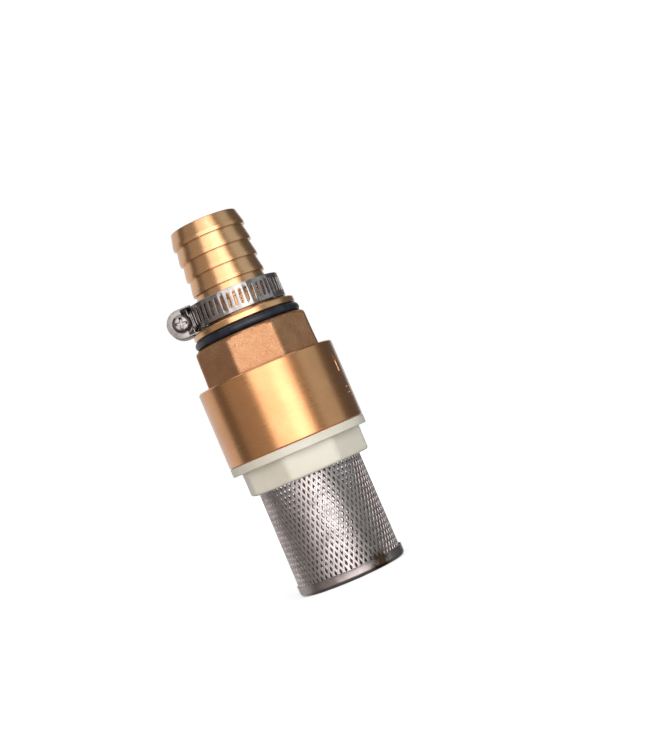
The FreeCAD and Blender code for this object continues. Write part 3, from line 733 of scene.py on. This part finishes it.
def strip_end(inner, outer, angle, half, edge):
    """Cut end of a strip, its corners rounded like the strip's edges."""
    heights = np.concatenate([[-half], np.linspace(-1, 1, 9) * (half - edge), [half]])
    trim = edge * (np.abs(heights) == half)
    points = [np.stack([radius * math.cos(angle), radius * math.sin(angle), heights], axis=1)
              for radius in (outer - trim, inner + trim)]
    return np.concatenate(points), grid(2, len(heights), False, False)


def strip(inner, outer, first, count, closed):
    """Rolled strip of slotted cells: count of them from the cell centred on angle first."""
    pitch, half, edge = TAU / BAND_SLOTS, 3.95, 0.12
    lean = math.tan(math.radians(5.7))
    middle = (inner + outer) / 2
    cell_half = pitch * middle / 2
    box, slot, away = slotted_cell(cell_half, half - edge)

    def leaned(grown):
        spots = slot + away * grown
        return spots + np.stack([spots[:, 1] * lean, np.zeros(len(spots))], 1)

    # From the outer face through the slot, its edges rounded, to the inner face
    rings = [(box, outer), (leaned(0.16), outer), (leaned(0.04), outer - 0.04),
             (leaned(0), outer - 0.14), (leaned(0), inner + 0.08), (leaned(0.08), inner),
             (box, inner)]
    across = np.linspace(-cell_half, cell_half, 9)
    rim = [(outer, half - edge), (outer - edge, half), (inner + edge, half),
           (inner, half - edge)]
    parts = []
    for centre in (first + k * pitch for k in range(count)):
        points = [rolled(spots, radius, centre, middle) for spots, radius in rings]
        parts.append((np.concatenate(points), grid(len(rings), len(box), wrap_rows=False)))
        for flip in (1, -1):
            points = [rolled(np.stack([across, np.full(len(across), flip * up)], 1), radius,
                             centre, middle) for radius, up in rim]
            parts.append((np.concatenate(points), grid(len(rim), len(across), False, False)))
    if not closed:
        for angle in (first - pitch / 2, first + (count - 0.5) * pitch):
            parts.append(strip_end(inner, outer, angle, half, edge))
    return joined(*parts)


def clamp_band():
    """Slotted band: a closed first turn and the free end lapped over it."""
    middle = (low("clamp_band") + high("clamp_band")) / 2
    inner, wall, gap = reach("clamp_saddle") + 0.05, 0.6, 0.1
    lap, lap_start, lap_slots = inner + wall + gap, math.radians(165), 14
    points, faces = joined(strip(inner, inner + wall, 0.0, BAND_SLOTS, True),
                           strip(lap, lap + wall, lap_start, lap_slots, False))
    piece("band", (points + (0, 0, middle), faces), STRIP_STEEL, "clamp", "stainless_strip",
          "clamp_band")


def prism(corners, near, far, bevel, segments=2):
    """A plate between y = near and y = far with the outline (x, z), its edges rounded."""
    work = bmesh.new()
    face = work.faces.new([work.verts.new((x, near, z)) for x, z in corners])
    grown = bmesh.ops.extrude_face_region(work, geom=[face])["geom"]
    moved = [v for v in grown if isinstance(v, bmesh.types.BMVert)]
    bmesh.ops.translate(work, verts=moved, vec=(0, far - near, 0))
    bmesh.ops.recalc_face_normals(work, faces=work.faces)
    sharp = [e for e in work.edges if e.is_manifold and e.calc_face_angle() > SHARP]
    bmesh.ops.bevel(work, geom=sharp, offset=bevel, segments=segments, affect="EDGES",
                    profile=0.5, clamp_overlap=True)
    work.verts.index_update()
    points = np.array([v.co[:] for v in work.verts])
    faces = [[v.index for v in f.verts] for f in work.faces]
    work.free()
    return points, faces


def arc(centre, radius, start, stop, steps=18):
    """Points of an arc about (x, z), its angles in degrees."""
    turns = np.radians(np.linspace(start, stop, steps))
    return [(centre[0] + radius * math.cos(t), centre[1] + radius * math.sin(t)) for t in turns]


def clamp_housing():
    """Strap bent round the worm, with an end wall at each side."""
    centre = (-WORM_AT, (low("clamp_housing") + high("clamp_housing")) / 2)
    outer, wall, inside, half = 4.85, 0.55, -14.45, 5.5
    wall_inside, wall_outside = half - 0.5, half - 0.02
    hole, gap, front_reach, back_reach = 1.9, 0.6, 1.1, 2.6
    inner = outer - wall
    rim = inner + 0.2
    x, z = centre
    strap = arc(centre, outer, 270, 90) + [(inside, z + outer), (inside, z + inner)]
    strap += arc(centre, inner, 90, 270) + [(inside, z - inner), (inside, z - outer)]

    def end_wall(ahead, notch, lips):
        """Outline of a wall that ends that far past the worm's axis, open from its hole."""
        edge = x + ahead
        wall_end = arc(centre, rim, 270, 90) + [(edge, z + rim)] + [(edge, z + u) for u in lips]
        wall_end += arc(centre, hole, notch, 360 - notch)
        return wall_end + [(edge, z - u) for u in lips] + [(edge, z - rim)]

    front = end_wall(front_reach, math.degrees(math.acos(front_reach / hole)), [])
    back = end_wall(back_reach, math.degrees(math.asin(gap / hole)), [gap])
    part = joined(prism(strap, -half, half, 0.22),
                  prism(front, -wall_outside, -wall_inside, 0.1),
                  prism(back, wall_inside, wall_outside, 0.1))
    piece("housing", part, HOUSING_STEEL_PAINTED_SHADE, "clamp", "stainless_strip", "clamp_housing")


def cross_recess(across, up):
    """Share of the full depth of a cross-shaped recess with a hub, turned a little."""
    swing = math.radians(12)
    arm_half, arm_end, hub = 0.5, 1.95, 1.05
    arm_slope, end_slope, hub_slope = 0.16, 0.5, 0.3
    one = np.abs(across * math.cos(swing) + up * math.sin(swing))
    two = np.abs(up * math.cos(swing) - across * math.sin(swing))
    narrow, wide = np.minimum(one, two), np.maximum(one, two)
    arms = np.clip((arm_half - narrow) / arm_slope, 0, 1)
    arms = arms * np.clip((arm_end - wide) / end_slope, 0, 1)
    return np.maximum(arms, np.clip((hub - one - two) / hub_slope, 0, 1))


def clamp_screw():
    """Worm screw with a domed, cross-recessed head. The worm's thread is rings."""
    x, z = -WORM_AT, (low("clamp_screw") + high("clamp_screw")) / 2
    worm, root, neck, end, half = 3.4, 2.7, 1.8, 5.6, 4.9
    ring_pitch, ring_foot, ring_flank = 2.1, 0.35, 0.2
    head, head_height, dome, recess = 3.0, 2.2, 0.9, 1.25
    stub, stub_length = 2.4, 0.6
    tip = end + head_height
    line = outline([
        (0, -end - stub_length), (stub, -end - stub_length, 0.3), (stub, -end, 0.1),
        (neck, -end), (neck, -half), (root, -half), (root, half), (neck, half), (neck, end),
        (head, end, 0.12), (head, end + 1.2, 0.25), (head - 0.75, tip - 0.15, 0.5), (0, tip),
    ])
    line = divided(line, 0.14, lambda p: abs(p[0] - root) < 0.01)
    line = divided(line, 0.07, lambda p: p[1] > tip - dome and p[0] < head)
    angles = evenly(120)
    angle, radius = np.meshgrid(angles, line[:, 0])
    along = np.repeat(line[:, 1:], len(angles), axis=1)
    apart = np.abs((along / ring_pitch + 0.5) % 1 - 0.5) * ring_pitch
    ridge = np.clip((ring_foot - apart) / ring_flank, 0, 1)
    ridge = ridge * eased(np.minimum(along + half, half - along))
    radius = np.where(np.abs(radius - root) < 0.01, root + (worm - root) * ridge, radius)
    across, up = radius * np.cos(angle), radius * np.sin(angle)
    on_dome = (along > tip - dome) & (radius < head - 0.4)
    along = along - np.where(on_dome, recess * cross_recess(across, up), 0)
    points = np.stack([x - across, -along, z + up], axis=-1).reshape(-1, 3)
    piece("worm_screw", (points, grid(len(line), len(angles))), ZINC, "clamp_worm",
          "zinc_steel", "clamp_screw")


# ---------------------------------------------------------------- CAD pieces kept as they are

def keep(finishes):
    """Give the CAD nodes that stay their finishes."""
    for node, finish in finishes.items():
        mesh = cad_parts[node].data
        mesh.materials.clear()
        mesh.materials.append(finish)


# ---------------------------------------------------------------- studio

def softbox(name, azimuth, width, lowest, highest, radiance, tint=(1, 1, 1), distance=1.5):
    """Flat lamp seen from the valve at azimuth degrees right of the front.

    width, lowest and highest are the angles in degrees that it fills, and radiance its
    brightness.
    """
    aim = Vector((0, 0, 0.06))
    turn = math.radians(azimuth)
    away = Vector((math.sin(turn), -math.cos(turn), 0))
    bottom = distance * math.tan(math.radians(lowest))
    top = distance * math.tan(math.radians(highest))
    data = bpy.data.lights.new(name, "AREA")
    data.shape = "RECTANGLE"
    data.size = 2 * distance * math.tan(math.radians(width / 2))
    data.size_y = top - bottom
    data.energy = radiance * math.pi * data.size * data.size_y
    data.color = tint
    lamp = bpy.data.objects.new(name, data)
    lamp.location = aim + away * distance + Vector((0, 0, (bottom + top) / 2))
    lamp.rotation_euler = away.to_track_quat("Z", "Y").to_euler()
    bpy.context.scene.collection.objects.link(lamp)


def overhead(size, height, radiance):
    """Large soft lamp above."""
    data = bpy.data.lights.new("overhead", "AREA")
    data.size = size
    data.energy = radiance * math.pi * size * size
    lamp = bpy.data.objects.new("overhead", data)
    lamp.location = (0, 0, height)
    bpy.context.scene.collection.objects.link(lamp)


def floor():
    """Wide white floor. Lamps shine through it, so that they can stand lower than it."""
    half, drop = 4.0, -2e-5
    near, far, near_glow, far_glow = 0.05, 0.6, 0.6, 1.1
    mesh = bpy.data.meshes.new("floor")
    corners = [(-half, -half, drop), (half, -half, drop), (half, half, drop), (-half, half, drop)]
    mesh.from_pydata(corners, [], [(0, 1, 2, 3)])
    paper = Finish("paper", Roughness=1.0, Specular_IOR_Level=0.0)
    tone = paper.mixed(paper.noise(60.0), (0.86, 0.86, 0.86, 1), (0.9, 0.9, 0.9, 1))
    away = paper.add("VectorMath", {"operation": "LENGTH"}, _0=paper.place).outputs[1]
    glow = paper.between(away, near, far, near_glow, far_glow)
    mesh.materials.append(paper.finished(Base_Color=tone, Emission_Color=(1, 1, 1, 1),
                                         Emission_Strength=glow))
    made = bpy.data.objects.new("floor", mesh)
    made.visible_glossy = False
    made.visible_diffuse = False
    made.visible_shadow = False
    bpy.context.scene.collection.objects.link(made)


def backdrop(seen, ambient):
    """White behind everything that the camera sees, and a dim even light from all round."""
    world = bpy.data.worlds.new("studio")
    world.use_nodes = True
    nodes, links = world.node_tree.nodes, world.node_tree.links
    nodes.clear()
    white, dim = nodes.new("ShaderNodeBackground"), nodes.new("ShaderNodeBackground")
    white.inputs["Color"].default_value = (seen, seen, seen, 1)
    dim.inputs["Color"].default_value = (ambient, ambient, ambient, 1)
    mix, path = nodes.new("ShaderNodeMixShader"), nodes.new("ShaderNodeLightPath")
    out = nodes.new("ShaderNodeOutputWorld")
    links.new(path.outputs["Is Camera Ray"], mix.inputs[0])
    links.new(dim.outputs[0], mix.inputs[1])
    links.new(white.outputs[0], mix.inputs[2])
    links.new(mix.outputs[0], out.inputs[0])
    bpy.context.scene.world = world


def camera():
    """Long lens level with the barrel's foot, rolled so that the valve leans to the left."""
    distance, roll = 0.5, math.radians(23.2)
    foot = low("valve_body") * MM
    aim = Vector((0.0172, 0, foot + 0.0165))
    data = bpy.data.cameras.new("camera")
    data.lens = 73.2
    data.clip_start, data.clip_end = 0.01, 50
    made = bpy.data.objects.new("camera", data)
    made.location = (0, -distance, foot + 0.0003)
    ahead = (aim - made.location).normalized()
    across = ahead.cross(Vector((0, 0, 1))).normalized()
    above = across.cross(ahead)
    upright = above * math.cos(roll) + across * math.sin(roll)
    turn = Matrix((ahead.cross(upright), upright, -ahead)).transposed()
    made.rotation_euler = turn.to_euler()
    bpy.context.scene.collection.objects.link(made)
    bpy.context.scene.camera = made


camera()
backdrop(seen=1.0, ambient=0.11)
floor()

# name, azimuth, width, lowest, highest, radiance
softbox("main", 3, 66, -24, 42, 1.85)
softbox("core", 17, 22, -24, 42, 0.9, (0.95, 1.0, 1.1), distance=1.45)
softbox("left_fill", -60, 40, -30, 42, 0.25, (1.0, 0.93, 0.88))
softbox("right_fill", 74, 42, -30, 42, 0.5, (0.84, 1.03, 1.13))
softbox("back_left", -155, 100, -30, 42, 0.6)
overhead(size=1.2, height=1.3, radiance=0.8)

strainer_cap()
strainer_mesh()
strainer_adapter()
valve_body()
outlet_bonnet()
return_spring()
tail_o_ring()
hose_tail()
clamp_band()
clamp_housing()
clamp_screw()
keep({
    "inlet_gasket": RUBBER, "bonnet_gasket": RUBBER, "stem_guide": ACETAL, "poppet": ACETAL,
    "poppet_seal": RUBBER, "seal_retainer": BRASS, "retainer_screw": ZINC,
    "clamp_saddle": STRIP_STEEL,
})

bpy.context.scene.view_settings.view_transform = "Standard"
